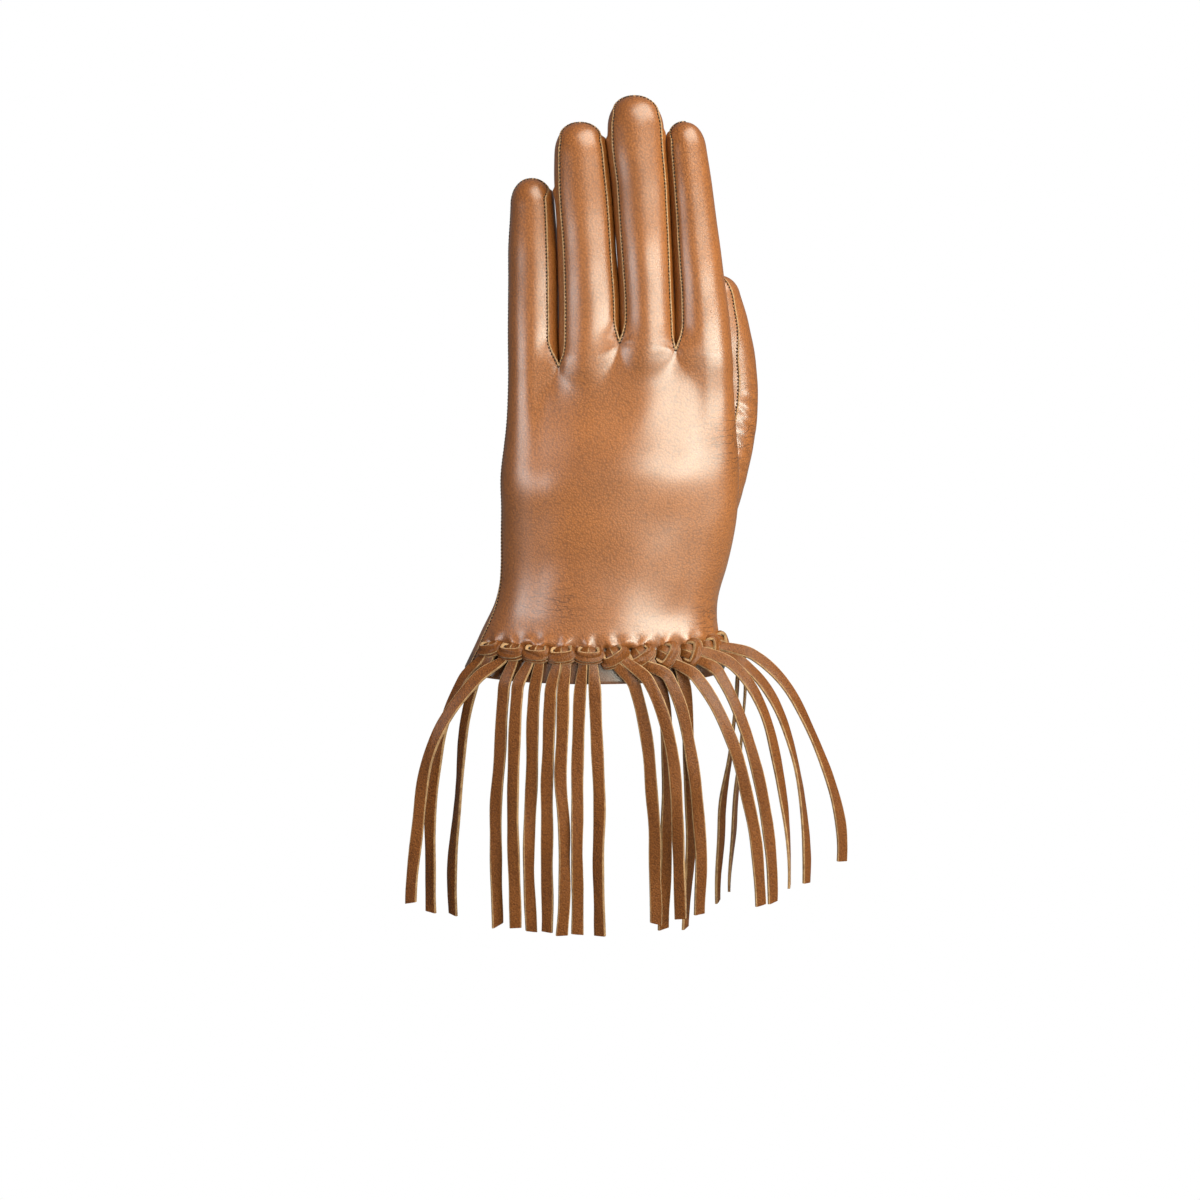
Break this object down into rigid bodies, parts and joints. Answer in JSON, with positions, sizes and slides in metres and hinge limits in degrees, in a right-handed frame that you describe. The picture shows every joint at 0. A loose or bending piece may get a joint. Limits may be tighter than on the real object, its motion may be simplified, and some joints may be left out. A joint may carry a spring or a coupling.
{
  "type": "sheepskin glove",
  "caption": "Left-hand dress glove in smooth sheepskin, with gussets between the fingers and a knotted leather fringe along the back of the cuff.",
  "frame": {"origin": "in the opening of the cuff, in the plane of the hem", "axes": "+Z from the hem to the fingertips, -Y out of the back of the hand, +X towards the thumb's side"},
  "size_m": [0.1603, 0.0683, 0.2963],
  "materials": {
    "nappa": "smooth, softly glossy, light brown",
    "lining": "short tan plush",
    "lace": "smooth grain side, suede flesh side and pale cut edges"
  },
  "bodies": {
    "root": {"trank": "nappa", "thumb": "nappa", "fourchette_pinky_ring": "nappa", "fourchette_ring_middle": "nappa", "fourchette_middle_index": "nappa", "cuff_lining": "lining", "lace_01": "lace", "lace_02": "lace", "lace_03": "lace", "lace_04": "lace", "lace_05": "lace", "lace_06": "lace", "lace_07": "lace", "lace_08": "lace", "lace_09": "lace", "lace_10": "lace", "lace_11": "lace"}
  },
  "joints": []
}
